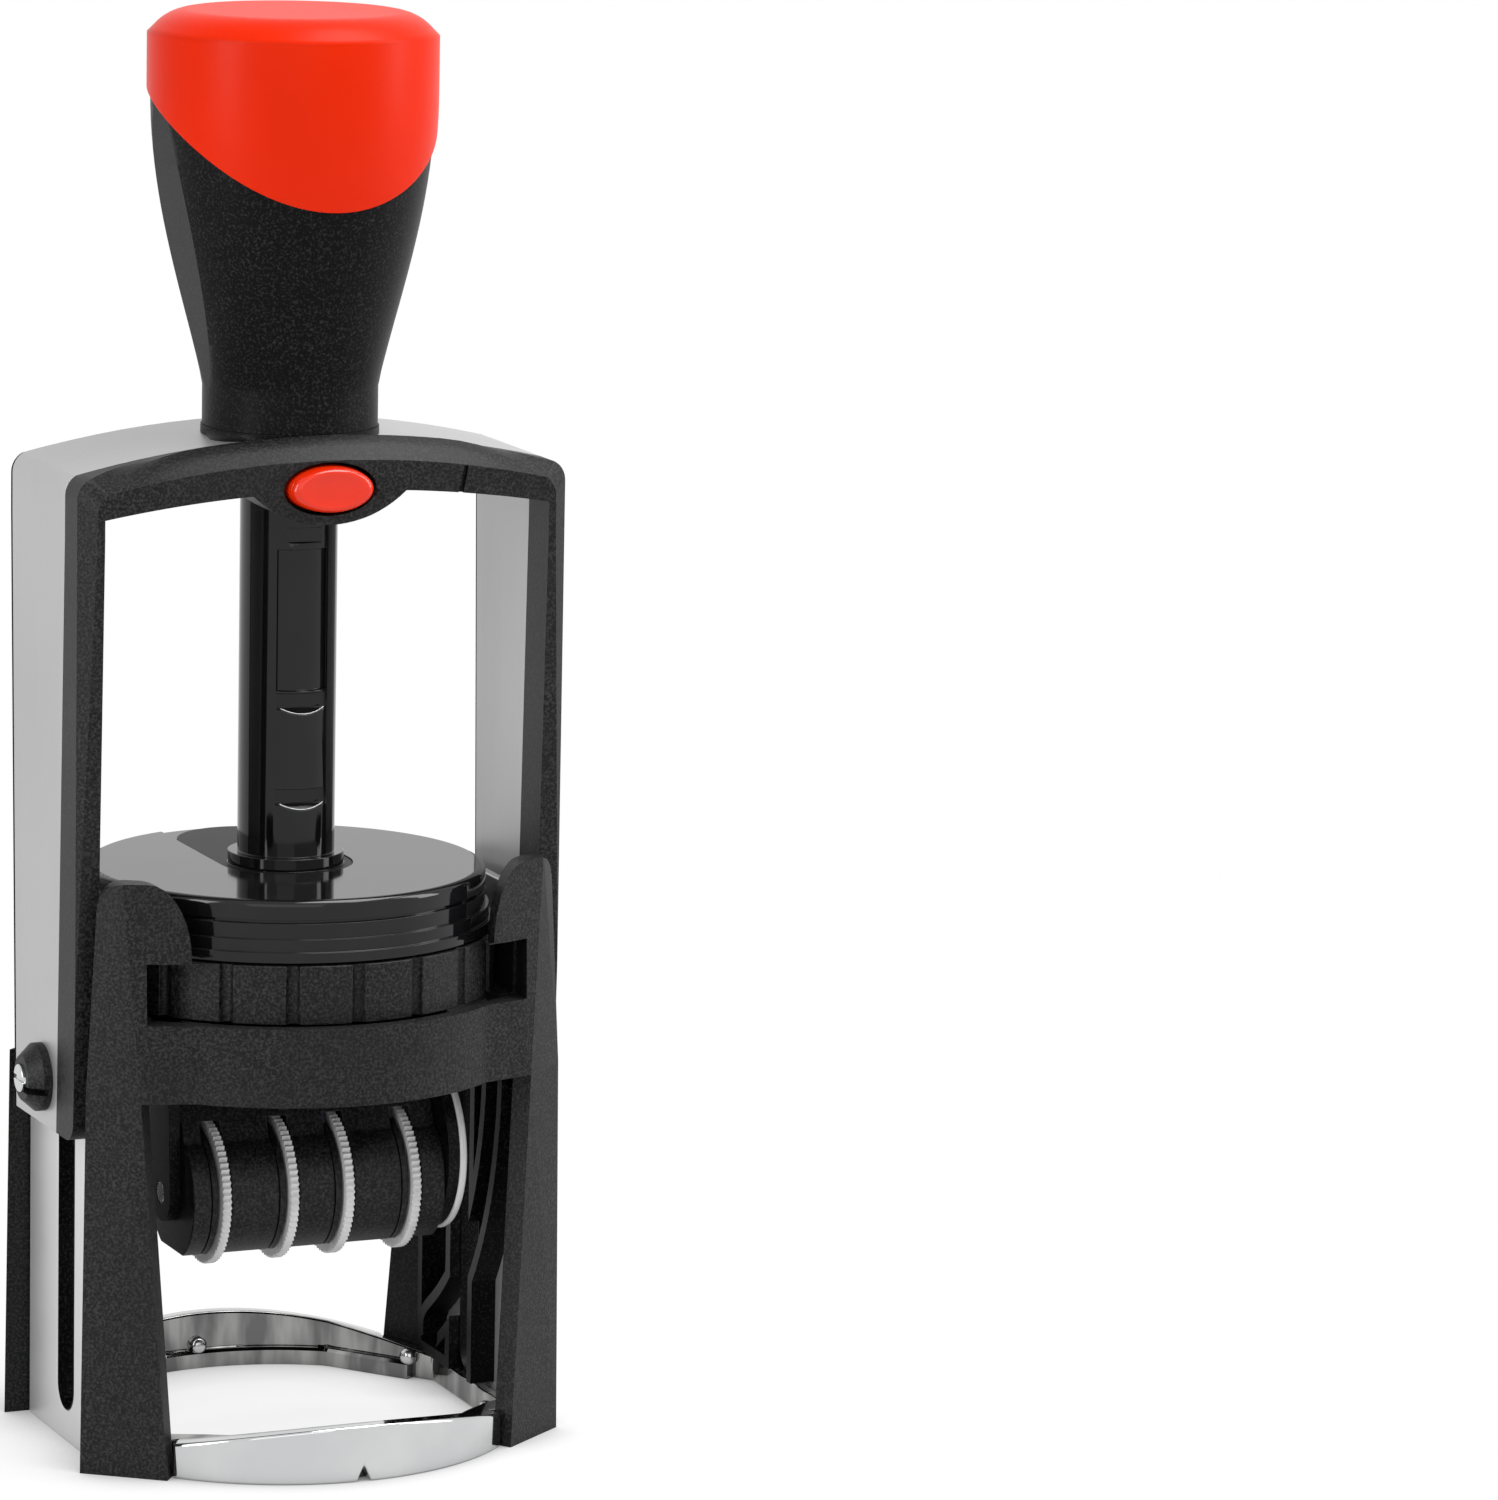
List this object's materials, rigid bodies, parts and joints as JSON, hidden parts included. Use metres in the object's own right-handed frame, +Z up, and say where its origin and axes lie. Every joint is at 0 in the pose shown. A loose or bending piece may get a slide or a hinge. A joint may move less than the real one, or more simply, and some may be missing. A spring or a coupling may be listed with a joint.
{
  "type": "self-inking time stamp",
  "caption": "Self-inking stamp with a grip on a sprung yoke, a notched guide column, a flip carrier with date wheels and a time ring, a sliding ink cassette and a round foot.",
  "frame": {"origin": "on the floor plane under the axis of the guide column", "axes": "+Z up along the column, -Y to the front with the lock button, +X to the right"},
  "size_m": [0.0772, 0.0664, 0.197],
  "materials": {
    "black_plastic": "fine grained moulding",
    "gloss_black": "polished black",
    "chrome": "satin chrome",
    "steel": "bright",
    "red_plastic": "glossy red",
    "grey_plastic": "pale grey moulding",
    "rubber": "printing rubber",
    "felt": "inked felt"
  },
  "bodies": {
    "base": {"foot_ring": "chrome", "left_side_plate": "chrome", "right_side_plate": "chrome", "left_guide_cheek": "black_plastic", "right_guide_cheek": "black_plastic", "base_frame": "black_plastic", "pad_cover": "gloss_black", "column": "gloss_black", "column_stop": "steel", "return_spring": "steel"},
    "handle": {"yoke_band": "chrome", "front_bezel": "black_plastic", "rear_bezel": "black_plastic", "collar": "black_plastic", "guide_bush": "grey_plastic", "handle_grip": "black_plastic", "handle_cap": "red_plastic", "left_axle_pin": "steel", "right_axle_pin": "steel", "left_axle_knob": "gloss_black", "right_axle_knob": "gloss_black", "left_axle_screw": "steel", "right_axle_screw": "steel", "lock_spring": "steel"},
    "lock": {"lock_button": "red_plastic"},
    "carrier": {"carrier_frame": "black_plastic", "drum_cover": "black_plastic", "end_disc": "grey_plastic", "wheel_axle": "steel", "date_bands": "rubber", "band_bridge": "steel", "text_die": "rubber"},
    "time_ring": {"time_ring": "grey_plastic", "time_dial": "rubber"},
    "cassette": {"pad_cassette": "gloss_black", "ink_pad": "felt"},
    "date_wheel_1": {"date_wheel_1": "grey_plastic"},
    "date_wheel_2": {"date_wheel_2": "grey_plastic"},
    "date_wheel_3": {"date_wheel_3": "grey_plastic"},
    "date_wheel_4": {"date_wheel_4": "grey_plastic"}
  },
  "joints": [
    {"name": "handle_press", "type": "slide", "parent": "base", "child": "handle", "axis": [0, 0, -1], "range_m": [0, 0.044], "stiffness_N_per_m": 150, "springref_m": -0.06, "deforming": ["return_spring"]},
    {"name": "die_flip", "type": "hinge", "parent": "handle", "child": "carrier", "pos_m": [0, 0, 0.0518], "axis": [1, 0, 0], "range_deg": [0, 180]},
    {"name": "lock_press", "type": "slide", "parent": "handle", "child": "lock", "axis": [0, 1, 0], "range_m": [0, 0.0017], "stiffness_N_per_m": 300, "springref_m": -0.002, "deforming": ["lock_spring"]},
    {"name": "pad_slide", "type": "slide", "parent": "base", "child": "cassette", "axis": [0, -1, 0], "range_m": [0, 0.06]},
    {"name": "time_turn", "type": "hinge", "parent": "carrier", "child": "time_ring", "pos_m": [0, 0, 0.0576], "axis": [0, 0, 1], "continuous": true},
    {"name": "date_turn_1", "type": "hinge", "parent": "carrier", "child": "date_wheel_1", "pos_m": [0, -0.006, 0.0357], "axis": [1, 0, 0], "continuous": true},
    {"name": "date_turn_2", "type": "hinge", "parent": "carrier", "child": "date_wheel_2", "pos_m": [0, -0.006, 0.0357], "axis": [1, 0, 0], "continuous": true},
    {"name": "date_turn_3", "type": "hinge", "parent": "carrier", "child": "date_wheel_3", "pos_m": [0, -0.006, 0.0357], "axis": [1, 0, 0], "continuous": true},
    {"name": "date_turn_4", "type": "hinge", "parent": "carrier", "child": "date_wheel_4", "pos_m": [0, -0.006, 0.0357], "axis": [1, 0, 0], "continuous": true}
  ],
  "couplings": [
    {"joint": "die_flip", "follows": "handle_press", "rad_per_m": 71.39}
  ]
}
